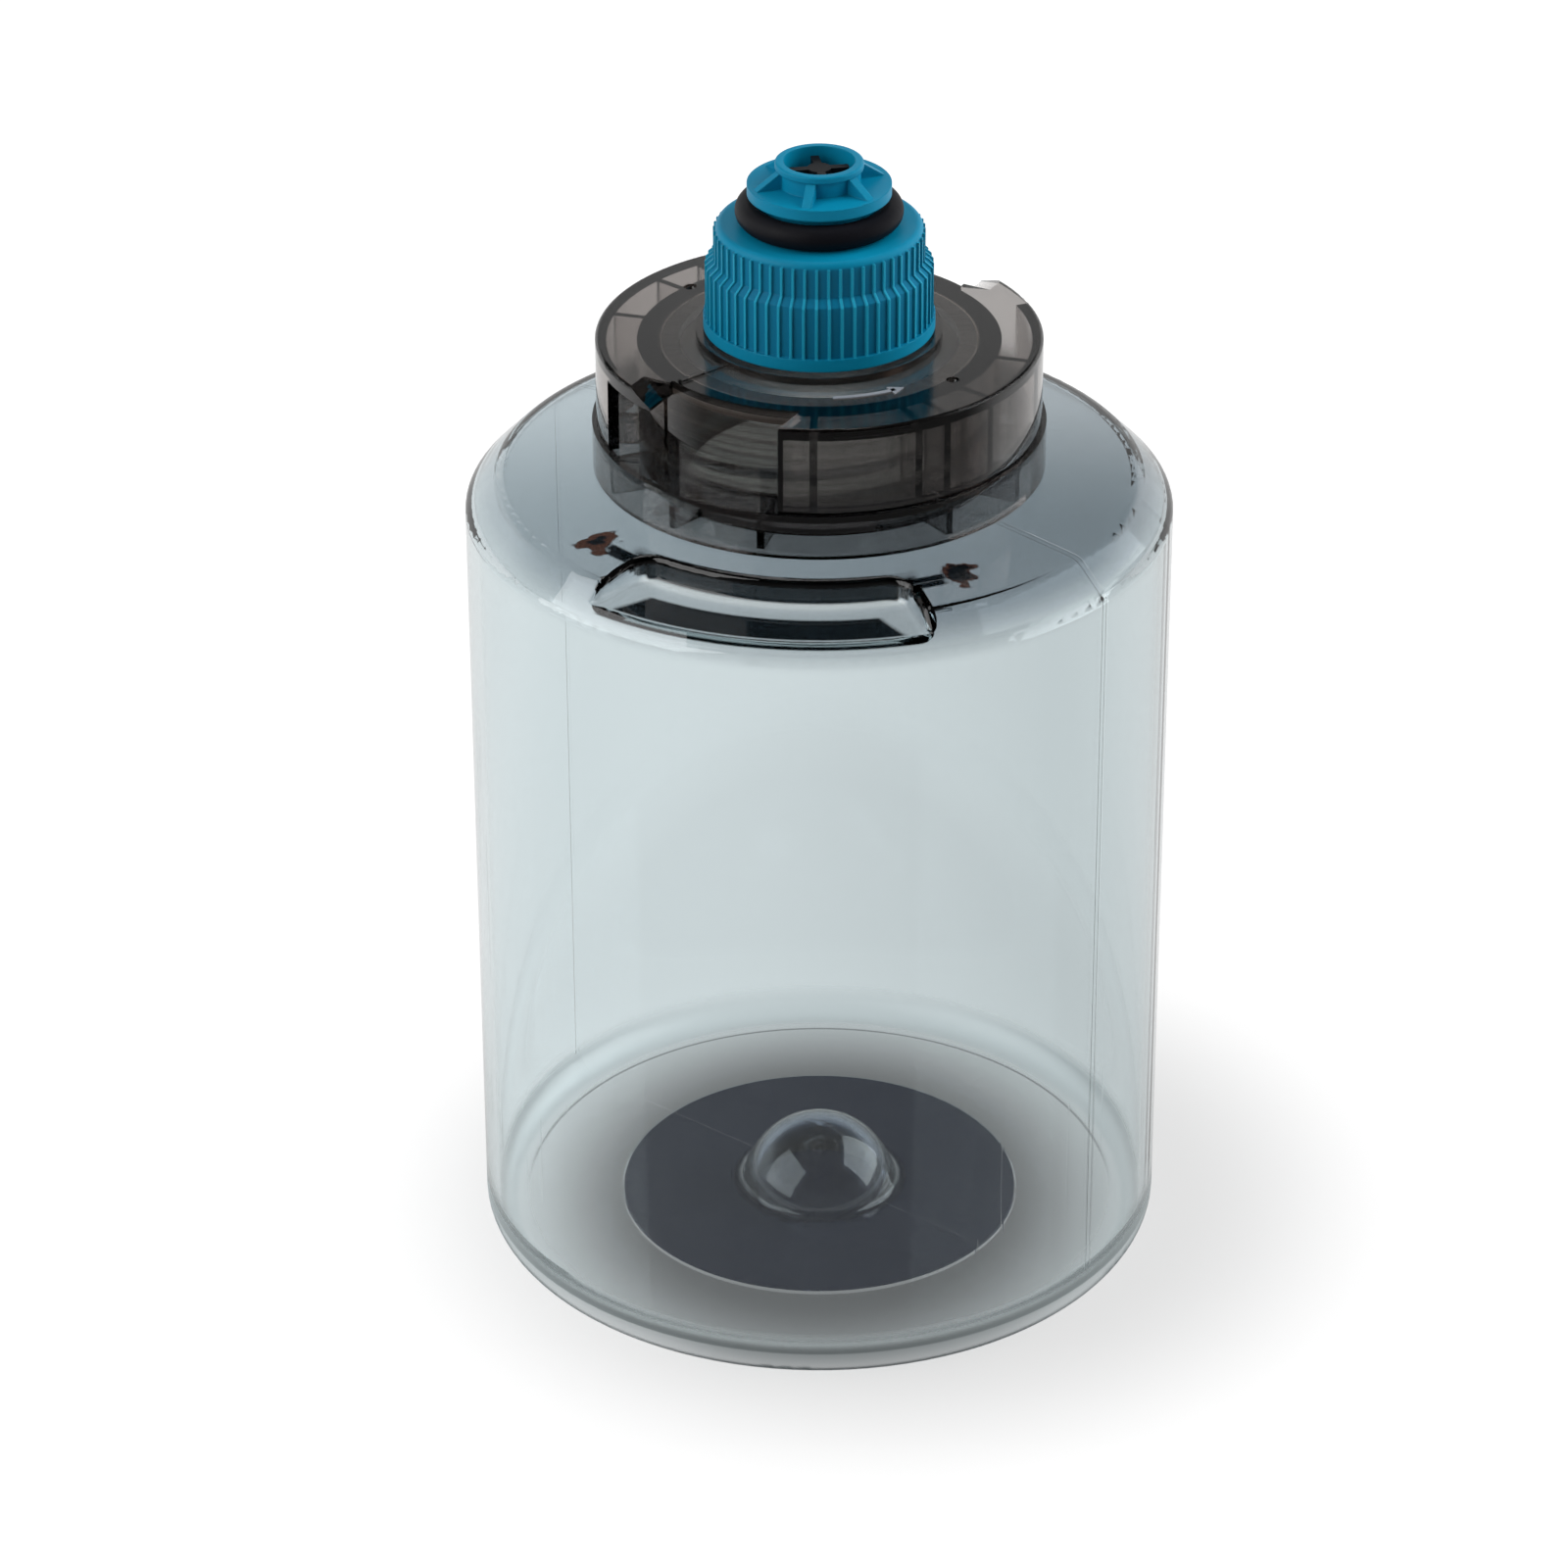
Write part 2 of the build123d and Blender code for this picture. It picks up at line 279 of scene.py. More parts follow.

# %% Painted shade under the tank
POOL_EDGE = (0.027, 0.057)
POOL_DEPTH = 0.13
POOL_SQUEEZE = 1.15
POOL_FORWARD = 0.003
GLOW_REACH = 0.07
LEFT_GLOW = 1.10
RIGHT_GLOW = 0.84
FOOT_SHADOW_RADIUS = 0.0424
FOOT_SHADOW_EDGE = (0.00008, 0.00030)
FOOT_SHADOW_END = (-0.012, 0.004)
FOOT_SHADOW_STRENGTH = 0.6


def length(tree, first, second):
    """Length of the diagonal over two sides."""
    squares = [calculate(tree, "MULTIPLY", side, side) for side in (first, second)]
    return calculate(tree, "SQRT", calculate(tree, "ADD", *squares))


# Painted shade: a dark pool on the table under the tank, seen through the bottle.
squeezed = calculate(tree, "MULTIPLY", sideways, POOL_SQUEEZE)
under = length(tree, squeezed, calculate(tree, "SUBTRACT", forward, POOL_FORWARD))
pool = stretch(tree, under, *POOL_EDGE, POOL_DEPTH, 1.0)
# Painted light: the glow through the bottle is brighter on the left than on the right.
painted_side_light = stretch(tree, sideways, -GLOW_REACH, GLOW_REACH, LEFT_GLOW, RIGHT_GLOW)
# Painted shadow: a thin dark line where the far side of the foot meets the table.
off_line = calculate(tree, "SUBTRACT", length(tree, sideways, forward), FOOT_SHADOW_RADIUS)
foot_shadow_line = every(
    tree,
    before(tree, calculate(tree, "ABSOLUTE", off_line), FOOT_SHADOW_EDGE),
    stretch(tree, forward, *FOOT_SHADOW_END, FOOT_SHADOW_STRENGTH, 0.0),
)
glow = every(tree, pool, painted_side_light, calculate(tree, "SUBTRACT", 1.0, foot_shadow_line))
print("pool of shade out to", POOL_EDGE[1] * 1000, "mm")

# %% Table by kind of ray
SHADE_ASIDE = 0.010
SHADE_EDGE = (0.040, 0.080)
SHADE_LEVEL = 0.80
TABLE_LEVEL = 1.12
MIRROR_REACH = 0.08
MIRROR_DARK = 0.10
GLOW_GAIN = 0.85
GLOW_BASE = 0.06
POOL_TINT = (1.0, 0.94, 0.94)
WHITE = (1.0, 1.0, 1.0)
SHADOW_EDGE = (0.10, 0.16)
SHADOW_SHARE = 0.15

paths = add_node(tree, "ShaderNodeLightPath")
by_camera = paths.outputs["Is Camera Ray"]
# Painted shade: to the camera the table is darker round the foot of the tank, whiter further out.
around = length(tree, calculate(tree, "SUBTRACT", sideways, SHADE_ASIDE), forward)
painted_contact_shade = stretch(tree, around, *SHADE_EDGE, SHADE_LEVEL, TABLE_LEVEL)
mirrored = stretch(tree, forward, -MIRROR_REACH, MIRROR_REACH, 1.0, MIRROR_DARK)
bent = calculate(tree, "SUBTRACT", paths.outputs["Is Glossy Ray"], paths.outputs["Is Transmission Ray"])
level = pick(tree, calculate(tree, "MAXIMUM", bent, 0.0), glow, mirrored)
through_clear = calculate(tree, "ADD", calculate(tree, "MULTIPLY", level, GLOW_GAIN), GLOW_BASE)
white = add_node(tree, "ShaderNodeEmission")
# Inside the painted pool of shade the glow is a little warmer in colour.
hue = blend_colour(tree, calculate(tree, "MAXIMUM", by_camera, pool), POOL_TINT, WHITE)
join(tree, hue, white.inputs["Color"])
join(tree, pick(tree, by_camera, through_clear, painted_contact_shade), white.inputs["Strength"])
shadow = every(tree, stretch(tree, around, *SHADOW_EDGE, SHADOW_SHARE, 0.0), by_camera)
lift = add_node(tree, "ShaderNodeMixShader")
join(tree, calculate(tree, "SUBTRACT", seen_by_eye(tree), shadow), lift.inputs[0])
join(tree, shader.outputs[0], lift.inputs[1])
join(tree, white.outputs[0], lift.inputs[2])
join(tree, lift.outputs[0], tree.nodes["Material Output"].inputs["Surface"])
print(white_table.name, len(tree.nodes), "nodes")

# %% [markdown]
# ## The room and the lamps
# The world stands in for the room: a white sheet that ends a little above the table, and darkness over
# it and behind the photographer. The camera itself sees plain white. Three soft boxes light the opaque
# pieces; their mirror images are dimmed, because the picture shows hardly any on the clear walls.

# %% World
SHEET_TOP = (0.30, 0.53)
SHEET_END = 0.05
ROOM_SIDE = (0.0, 0.5)
ROOM_DARK = 0.08
FILL_LIGHT = 0.16

world = bpy.data.worlds.new("studio")
bpy.context.scene.world = world
world.use_nodes = True
tree = world.node_tree
backdrop = tree.nodes["Background"]
direction = add_node(tree, "ShaderNodeTexCoord").outputs["Generated"]
height = along(tree, direction, (0.0, 0.0, 1.0))
room = every(
    tree,
    stretch(tree, height, *SHEET_TOP, 1.0, SHEET_END),
    stretch(tree, along(tree, direction, FRONT), *ROOM_SIDE, 1.0, ROOM_DARK),
)
paths = add_node(tree, "ShaderNodeLightPath")
shown = calculate(tree, "MAXIMUM", room, paths.outputs["Is Camera Ray"])
join(tree, pick(tree, seen_by_eye(tree), FILL_LIGHT, shown), backdrop.inputs["Strength"])
backdrop.inputs["Color"].default_value = (*WHITE, 1.0)
print("world:", len(tree.nodes), "nodes")

# %% Lamps
MIRROR_SHARE = 0.2


def soft_box(name, place, aim, width, height, power):
    """A square lamp that looks at a point, with a dimmed mirror image."""
    data = bpy.data.lights.new(name, "AREA")
    data.shape = "RECTANGLE"
    data.size = width
    data.size_y = height
    data.energy = power
    lamp = bpy.data.objects.new(name, data)
    bpy.context.scene.collection.objects.link(lamp)
    lamp.location = place
    lamp.rotation_euler = (Vector(aim) - Vector(place)).to_track_quat("-Z", "Y").to_euler()
    data.use_nodes = True
    tree = data.node_tree
    paths = add_node(tree, "ShaderNodeLightPath")
    dimmed = stretch(tree, paths.outputs["Is Glossy Ray"], 0.0, 1.0, 1.0, MIRROR_SHARE)
    join(tree, dimmed, tree.nodes["Emission"].inputs["Strength"])
    return lamp


soft_box(
    "box_top", place=(-0.10, 0.14, 1.25), aim=(0.0, 0.0, 0.05), width=0.60, height=0.60, power=1.7
)
soft_box(
    "box_left", place=(-0.79, -0.51, 0.62), aim=(0.0, 0.0, 0.08), width=1.10, height=1.00, power=8.5
)
box_right = soft_box(
    "box_right", place=(0.86, 0.36, 0.62), aim=(0.0, 0.0, 0.08), width=1.10, height=1.00, power=13.0
)
box_right.visible_glossy = False

# %% [markdown]
# ## Shared surface effects
# Real mouldings are never one even colour. Two effects come back on many of the pieces: the fine grain
# of a satin mould, and the hairlines and smears of handling. The bottle alone has a third, the parting
# line where the halves of its mould met. Each is a shader group that only puts out numbers; the material
# decides what they change.

# %% Fine grain
NOISE_RANGE = (0.3, 0.7)
CLOUD_SCALE = 90.0

fine_grain, inside, outside = start_group("fine_grain", {"Scale": 2500.0}, ("Height", "Cloud"))
place = add_node(fine_grain, "ShaderNodeTexCoord").outputs["Object"]
grain = add_node(fine_grain, "ShaderNodeTexNoise", Detail=4.0, Roughness=0.6)
cloud = add_node(fine_grain, "ShaderNodeTexNoise", Scale=CLOUD_SCALE, Detail=3.0)
join(fine_grain, place, grain.inputs["Vector"])
join(fine_grain, place, cloud.inputs["Vector"])
join(fine_grain, inside.outputs["Scale"], grain.inputs["Scale"])
join(fine_grain, grain.outputs["Fac"], outside.inputs["Height"])
join(fine_grain, stretch(fine_grain, cloud.outputs["Fac"], *NOISE_RANGE), outside.inputs["Cloud"])
print(fine_grain.name, len(fine_grain.nodes), "nodes")

# %% Handling marks
STREAK_TURNS = ((35.0, 0.0), (-62.0, 3.7))
STREAK_STRETCH = (900.0, 900.0, 14.0)
STREAK_EDGE = (0.72, 0.78)
PATCH_SCALE = 38.0
PATCH_EDGE = (0.45, 0.7)
MARK_LEVELS = ((0.010, 0.020), (0.098, 0.108))

handling, inside, outside = start_group("handling", {"Amount": 0.5}, ("Hairlines", "Smears"))
place = add_node(handling, "ShaderNodeTexCoord").outputs["Object"]
streaks = []
for turn, seed in STREAK_TURNS:
    lay = add_node(handling, "ShaderNodeMapping")
    lay.inputs["Location"].default_value = (seed, seed, seed)
    lay.inputs["Rotation"].default_value = (math.radians(turn), math.radians(turn / 2), 0.0)
    lay.inputs["Scale"].default_value = STREAK_STRETCH
    streak = add_node(handling, "ShaderNodeTexNoise", Scale=1.0, Detail=1.0)
    join(handling, place, lay.inputs["Vector"])
    join(handling, lay.outputs["Vector"], streak.inputs["Vector"])
    streaks.append(stretch(handling, streak.outputs["Fac"], *STREAK_EDGE))
patches = add_node(handling, "ShaderNodeTexNoise", Scale=PATCH_SCALE, Detail=1.0)
join(handling, place, patches.inputs["Vector"])
where = stretch(handling, patches.outputs["Fac"], *PATCH_EDGE)
either = calculate(handling, "MAXIMUM", *streaks)
on_wall = between(handling, along(handling, place, (0.0, 0.0, 1.0)), *MARK_LEVELS)
amount = inside.outputs["Amount"]
join(handling, every(handling, either, where, on_wall, amount), outside.inputs["Hairlines"])
join(handling, every(handling, where, amount), outside.inputs["Smears"])
print(handling.name, len(handling.nodes), "nodes")

# %% Parting line
SEAM_ANGLE = math.radians(63.0)
SEAM_EDGE = (0.6, 1.4)

parting, inside, outside = start_group("parting_line", {"Width": 0.00012}, ("Line",))
place = add_node(parting, "ShaderNodeTexCoord").outputs["Object"]
across = along(parting, place, (math.cos(SEAM_ANGLE), math.sin(SEAM_ANGLE), 0.0))
near = calculate(parting, "DIVIDE", calculate(parting, "ABSOLUTE", across), inside.outputs["Width"])
join(parting, before(parting, near, SEAM_EDGE), outside.inputs["Line"])
print(parting.name, len(parting.nodes), "nodes")

# %% [markdown]
# ## Painted shade in the notch
# On the real tank the back wall of the latch notch, the middle of its floor and its lip look almost
# black, and a ragged brown spot with a dark heart stands beside each end. Thick plastic that turns light
# away like a prism may be the reason. The solids have an even wall and don't show this, so a group marks
# the places by angle, radius and height. The black places and the push-up dome in the foot get painted
# shade, the floor next to the back wall gets a painted highlight, and the spots a brown colour. A pair
# of numbers is where a mask starts and ends its rise or its fall.

# %% Notch floor and lip
FLOOR_LEVELS = ((0.1130, 0.1134), (0.1146, 0.1149))
FLOOR_RADII = ((0.0396, 0.0402), (0.0453, 0.0457))
FLOOR_END = (math.radians(22.0), math.radians(23.5))
SPLAY_FROM = 0.0405
SPLAY = 9.3
LIP_LEVEL = (0.1128, 0.1132)
LIP_RADII = ((0.0463, 0.0465), (0.0467, 0.0469))
LIP_END = (math.radians(27.0), math.radians(28.5))


def polar(tree):
    """The place that is shaded, its distance from the axis, its angle from the front and its height."""
    place = add_node(tree, "ShaderNodeTexCoord").outputs["Object"]
    axes = add_node(tree, "ShaderNodeSeparateXYZ")
    join(tree, place, axes.inputs[0])
    x, y, z = axes.outputs
    turn = calculate(tree, "ARCTAN2", x, calculate(tree, "MULTIPLY", y, -1.0))
    return place, length(tree, x, y), turn, z


glints, inside, outside = start_group("notch_glints", {}, ("Dark", "Brown", "Pale", "Dome"))
place, radius, turn, z = polar(glints)
angle = calculate(glints, "ABSOLUTE", turn)
splay = calculate(glints, "MULTIPLY", calculate(glints, "SUBTRACT", radius, SPLAY_FROM), SPLAY)
# Painted shade: the middle of the notch floor and its lip are painted almost black.
floor_middle = every(
    glints,
    between(glints, radius, *FLOOR_RADII),
    before(glints, calculate(glints, "SUBTRACT", angle, splay), FLOOR_END),
    between(glints, z, *FLOOR_LEVELS),
)
lip = every(
    glints,
    between(glints, radius, *LIP_RADII),
    before(glints, angle, LIP_END),
    stretch(glints, z, *LIP_LEVEL),
)
print("floor and lip:", len(glints.nodes), "nodes")

# %% Notch back wall
BACK_RADII = ((0.0342, 0.0350), (0.0362, 0.0366))
BACK_END = (math.radians(30.5), math.radians(33.0))
BACK_LEVELS = ((0.1142, 0.1146), (0.1172, 0.1180))
PALE_FADE = (0.0361, 0.0378)
PALE_STRENGTH = 0.9
PALE_END = (math.radians(29.0), math.radians(31.0))
PALE_LEVELS = ((0.1120, 0.1126), (0.1146, 0.1149))

# Painted shade: the back wall of the notch is painted almost black.
back_wall = every(
    glints,
    between(glints, radius, *BACK_RADII),
    before(glints, angle, BACK_END),
    between(glints, z, *BACK_LEVELS),
)
# Painted highlight: the notch floor next to its back wall is painted pale.
pale = every(
    glints,
    stretch(glints, radius, *PALE_FADE, PALE_STRENGTH, 0.0),
    before(glints, angle, PALE_END),
    between(glints, z, *PALE_LEVELS),
)
print("back wall:", len(glints.nodes), "nodes")

# %% Brown spots
SPOT_ANGLE = math.radians(39.8)
SPOT_RADIUS = 0.0374
SPOT_ARM = 0.0375
SPOT_EDGE = (0.0024, 0.0030)
SPOT_LEVEL = (0.1160, 0.1165)
TORN_SCALE = 420.0
TORN_REACH = 0.0010
HEART_LEFT = 0.0008
HEART_RIGHT = 0.0021
HEART_SOFT = 0.0003
HEART_SPAN = (-0.01, 0.01)
LINK_RADII = ((0.0362, 0.0367), (0.0376, 0.0381))
LINK_START = (math.radians(28.0), math.radians(29.0))
LINK_END = (math.radians(36.5), math.radians(38.5))
LINK_LEVEL = (0.1150, 0.1154)

beside = calculate(glints, "MULTIPLY", calculate(glints, "SUBTRACT", angle, SPOT_ANGLE), SPOT_ARM)
outward = calculate(glints, "SUBTRACT", radius, SPOT_RADIUS)
ragged = add_node(glints, "ShaderNodeTexNoise", Scale=TORN_SCALE, Detail=2.0)
join(glints, place, ragged.inputs["Vector"])
torn = stretch(glints, ragged.outputs["Fac"], *NOISE_RANGE, -TORN_REACH, TORN_REACH)
distance = calculate(glints, "ADD", length(glints, beside, outward), torn)
on_crest = stretch(glints, z, *SPOT_LEVEL)
spot = every(glints, before(glints, distance, SPOT_EDGE), on_crest)
# The dark heart of each spot and the link to the notch corner are painted shade; the spot itself is
# brown.
to_right = along(glints, place, (1.0, 0.0, 0.0))
heart_reach = stretch(glints, to_right, *HEART_SPAN, HEART_LEFT, HEART_RIGHT)
off_heart = calculate(glints, "SUBTRACT", distance, heart_reach)
heart = every(glints, before(glints, off_heart, (-HEART_SOFT, HEART_SOFT)), on_crest)
link = every(
    glints,
    between(glints, radius, *LINK_RADII),
    between(glints, angle, LINK_START, LINK_END),
    stretch(glints, z, *LINK_LEVEL),
)
print("spots:", len(glints.nodes), "nodes")

# %% Glints put together
DOME_EDGE = (0.0118, 0.0130)
DOME_TOP = (0.0130, 0.0140)

dark = floor_middle
for place_of_dark in (lip, back_wall, heart, link):
    dark = calculate(glints, "MAXIMUM", dark, place_of_dark)
# Painted shade: the push-up dome in the foot is darkened.
dome = every(glints, before(glints, radius, DOME_EDGE), before(glints, z, DOME_TOP))
for label, mask in (("Dark", dark), ("Brown", spot), ("Pale", pale), ("Dome", dome)):
    join(glints, mask, outside.inputs[label])
print(glints.name, len(glints.nodes), "nodes")

# %% [markdown]
# ## Painted highlights on the ribs of the grip
# In the picture each rib of the grip is a thin pale line between duller valleys. The crests get a painted
# highlight and the valleys a painted shade. A group finds the crests from the angle round the axis: the
# share of a turn times the 56 ribs is a saw tooth, and its middle is where the CAD has a rib.

# %% Grip lines
GRIP_RIBS = 56
GRIP_LEVELS = ((0.1398, 0.1400), (0.1519, 0.1524))
GRIP_RADIUS = (0.0134, 0.0136)
CREST_EDGE = (0.10, 0.16)

grip, inside, outside = start_group("grip_lines", {}, ("Crest", "Valley"))
place, radius, turn, z = polar(grip)
share = calculate(grip, "FRACT", calculate(grip, "MULTIPLY", turn, GRIP_RIBS / math.tau))
off_rib = calculate(grip, "ABSOLUTE", calculate(grip, "SUBTRACT", share, 0.5))
zone = every(grip, between(grip, z, *GRIP_LEVELS), stretch(grip, radius, *GRIP_RADIUS))
# The crest takes a painted highlight; the rest of the zone is the valley, for a painted shade.
crest = every(grip, zone, before(grip, off_rib, CREST_EDGE))
join(grip, crest, outside.inputs["Crest"])
join(grip, calculate(grip, "SUBTRACT", zone, crest), outside.inputs["Valley"])
print(grip.name, len(grip.nodes), "nodes")

# %% [markdown]
# ## Clear plastics
# The bottle and the lock cap are see-through all the way. Glass that is tinted at its surface looks the
# same however thick it is, so the colour here is inside: Volume Absorption darkens light by the length
# of its way through the wall, which gives pale faces and dark edges, as in the real mouldings. In the
# picture the bottle's shoulder is darker than its wall, so there the surface is darker, and darker still
# at the front right, which is painted shade. Shadow rays pass straight through, so the lamps reach the
# table inside.

# %% Clear plastics
PLASTIC_IOR = 1.53
BACK_LEFT = -0.6 * RIGHT - 0.8 * FRONT
SHOULDER_SHADE_SPAN = (-0.045, 0.045)
SMEAR_ROUGHNESS = 0.02
SHADOW_PASS = (0.93, 0.93, 0.93, 1.0)


def clear_plastic(name, tint, density, smear, heights, below, front, back):
    """Absorbs by thickness; above a range of heights the surface turns from one colour to a painted shade
    between two others, front right and back left.
    """
    material, tree, shader = start_material(name, IOR=PLASTIC_IOR, Transmission_Weight=1.0)
    place = add_node(tree, "ShaderNodeTexCoord").outputs["Object"]
    height = along(tree, place, (0.0, 0.0, 1.0))
    # For the bottle this is painted shade: its shoulder is darker towards the front right.
    backward = stretch(tree, along(tree, place, BACK_LEFT), *SHOULDER_SHADE_SPAN)
    above = blend_colour(tree, backward, front, back)
    surface = blend_colour(tree, stretch(tree, height, *heights), below, above)
    join(tree, surface, shader.inputs["Base Color"])
    marks = use_group(tree, handling, Amount=smear)
    smears = stretch(tree, marks.outputs["Smears"], 0.0, 1.0, 0.0, SMEAR_ROUGHNESS)
    join(tree, smears, shader.inputs["Roughness"])
    absorb = add_node(tree, "ShaderNodeVolumeAbsorption", Color=(*tint, 1.0), Density=density)
    through = add_node(tree, "ShaderNodeBsdfTransparent", Color=SHADOW_PASS)
    choose = add_node(tree, "ShaderNodeMixShader")
    join(tree, add_node(tree, "ShaderNodeLightPath").outputs["Is Shadow Ray"], choose.inputs[0])
    join(tree, shader.outputs[0], choose.inputs[1])
    join(tree, through.outputs[0], choose.inputs[2])
    output = tree.nodes["Material Output"]
    join(tree, choose.outputs[0], output.inputs["Surface"])
    join(tree, absorb.outputs[0], output.inputs["Volume"])
    return material


bottle_smoke = clear_plastic(
    "bottle_clear", tint=(0.34, 0.465, 0.48), density=100.0, smear=0.35, heights=(0.1100, 0.1158),
    below=(0.955, 0.99, 1.0), front=(0.33, 0.37, 0.41), back=(0.57, 0.63, 0.67),
)
cap_smoke = clear_plastic(
    "cap_clear", tint=(0.13, 0.06, 0.02), density=320.0, smear=0.25, heights=(0.1240, 0.1262),
    below=(0.52, 0.52, 0.52), front=WHITE, back=WHITE,
)
print("clear plastics:", bottle_smoke.name, cap_smoke.name)

# %% [markdown]
# ## The bottle's own marks
# Some marks are on the bottle alone. The glints paint shade in the notch and on the push-up dome and a
# highlight on the notch floor, and the foot is roughened, because in the picture it has no crisp lines. A
# low bump draws the parting line and the hairlines. And the normal of the round of the foot is turned
# upwards for rays that enter it: the solid corner of the model would lead a ray along the floor like a
# light guide and end in a dark band that the picture doesn't have.

# %% Bottle colour
DOME_SHADE_COLOUR = (0.22, 0.24, 0.30)
PALE_HIGHLIGHT_COLOUR = (0.97, 0.99, 1.0)
BROWN_TINT = (0.020, 0.004, 0.002)
NOTCH_SHADE_COLOUR = (0.0002, 0.0004, 0.0006)
SOFT_FOOT_TOP = (0.0055, 0.0085)
SOFT_FOOT_RADIUS = (0.0405, 0.0425)
SOFT_FOOT_ROUGHNESS = 0.35


def roughen(tree, roughness, mask, amount):
    """Raises a roughness socket to an amount where a mask is."""
    rough = calculate(tree, "MULTIPLY", mask, amount)
    join(tree, calculate(tree, "MAXIMUM", roughness.links[0].from_socket, rough), roughness)


tree = bottle_smoke.node_tree
shader = tree.nodes["Principled BSDF"]
place, radius, turn, z = polar(tree)
masks = use_group(tree, glints)
colour = shader.inputs["Base Color"].links[0].from_socket
# The dark places and the dome get painted shade, the pale place a painted highlight, the spots brown.
for label, tint in (("Dome", DOME_SHADE_COLOUR), ("Pale", PALE_HIGHLIGHT_COLOUR), ("Brown", BROWN_TINT), ("Dark", NOTCH_SHADE_COLOUR)):
    colour = blend_colour(tree, masks.outputs[label], colour, tint)
join(tree, colour, shader.inputs["Base Color"])
soft_foot = every(tree, before(tree, z, SOFT_FOOT_TOP), stretch(tree, radius, *SOFT_FOOT_RADIUS))
roughen(tree, shader.inputs["Roughness"], soft_foot, SOFT_FOOT_ROUGHNESS)
print(bottle_smoke.name, len(tree.nodes), "nodes")

# %% Bottle relief
LINE_HEIGHT = 0.35
HAIRLINE_DEPTH = 0.3
RELIEF = 0.00006
BOTTLE_MARKS = 0.35
FOOT_TOP = (0.0044, 0.0047)
FOOT_RADIUS = (0.0463, 0.0466)
FOOT_LIFT = 0.027

marks = use_group(tree, handling, Amount=BOTTLE_MARKS)
line = use_group(tree, parting)
relief = calculate(
    tree, "SUBTRACT",
    calculate(tree, "MULTIPLY", line.outputs["Line"], LINE_HEIGHT),
    calculate(tree, "MULTIPLY", marks.outputs["Hairlines"], HAIRLINE_DEPTH),
)
bump = add_node(tree, "ShaderNodeBump", Strength=1.0, Distance=RELIEF)
join(tree, relief, bump.inputs["Height"])
geometry = add_node(tree, "ShaderNodeNewGeometry")
foot = every(
    tree,
    before(tree, z, FOOT_TOP),
    stretch(tree, radius, *FOOT_RADIUS),
    before(tree, geometry.outputs["Backfacing"], (0.0, 1.0)),
)
level = add_node(tree, "ShaderNodeVectorMath", operation="MULTIPLY")
join(tree, place, level.inputs[0])
level.inputs[1].default_value = (1.0, 1.0, 0.0)
raised = add_node(tree, "ShaderNodeVectorMath", operation="ADD")
join(tree, level.outputs["Vector"], raised.inputs[0])
raised.inputs[1].default_value = (0.0, 0.0, FOOT_LIFT)
upright = add_node(tree, "ShaderNodeVectorMath", operation="NORMALIZE")
join(tree, raised.outputs["Vector"], upright.inputs[0])
turned = add_node(tree, "ShaderNodeMix", data_type="VECTOR")
join(tree, foot, turned.inputs["Factor"])
join(tree, bump.outputs["Normal"], turned.inputs[4])
join(tree, upright.outputs["Vector"], turned.inputs[5])
join(tree, turned.outputs[1], shader.inputs["Normal"])
print(bottle_smoke.name, len(tree.nodes), "nodes")

# %% [markdown]
# ## The cap's own marks
# A screw cap has a thread inside its skirt, and in the picture brownish bands show through the clear
# wall. The skirt is darkened as a painted shade, and lighter bands, a saw tooth of height and angle,
# stand for the thread; both are laid over the colour of the skirt alone. In the picture the deck mirrors
# the teal grip only as a soft stain, so there the roughness rises.

# %% Cap marks
BAND_PITCH = 0.0022
BAND_START = 0.25
BAND_EDGE = (0.30, 0.36)
SKIRT_RADII = ((0.0208, 0.0211), (0.0247, 0.0250))
SKIRT_LEVELS = ((0.1225, 0.1235), (0.1342, 0.1346))
SKIRT_SHADE_TINT = (0.44, 0.40, 0.36)
BAND_TINT = (0.80, 0.76, 0.68)
DECK_LEVEL = (0.1362, 0.1366)
DECK_RADIUS = (0.0118, 0.0122)
DECK_ROUGHNESS = 0.14

tree = cap_smoke.node_tree
shader = tree.nodes["Principled BSDF"]
place, radius, turn, z = polar(tree)
turns = calculate(tree, "SUBTRACT", calculate(tree, "MULTIPLY", turn, 1.0 / math.tau), BAND_START)
climb = calculate(tree, "SUBTRACT", calculate(tree, "DIVIDE", z, BAND_PITCH), turns)
skirt = every(tree, between(tree, radius, *SKIRT_RADII), between(tree, z, *SKIRT_LEVELS))
band = every(tree, skirt, stretch(tree, calculate(tree, "PINGPONG", climb, 0.5), *BAND_EDGE))
colour = shader.inputs["Base Color"].links[0].from_socket
# Painted shade darkens the skirt, and the lighter bands stand for the thread inside it.
for mask, tint in ((skirt, SKIRT_SHADE_TINT), (band, BAND_TINT)):
    colour = blend_colour(tree, mask, colour, tint)
join(tree, colour, shader.inputs["Base Color"])
deck = every(tree, stretch(tree, z, *DECK_LEVEL), stretch(tree, radius, *DECK_RADIUS))
roughen(tree, shader.inputs["Roughness"], deck, DECK_ROUGHNESS)
print(cap_smoke.name, len(tree.nodes), "nodes")

# %% [markdown]
# ## Opaque finishes
# The teal cap is satin plastic: its colour drifts a little, and the mould's fine grain breaks up the
# shine. Rubber is the same idea with a darker colour and a rougher grain. One function makes them all,
# so that each finish is a short list of two colours, two roughnesses and the size of its grain.

# %% Satin finish
SATIN_MARKS = 0.6
HAIRLINE_SHINE = 0.1
GRAIN_STRENGTH = 0.5


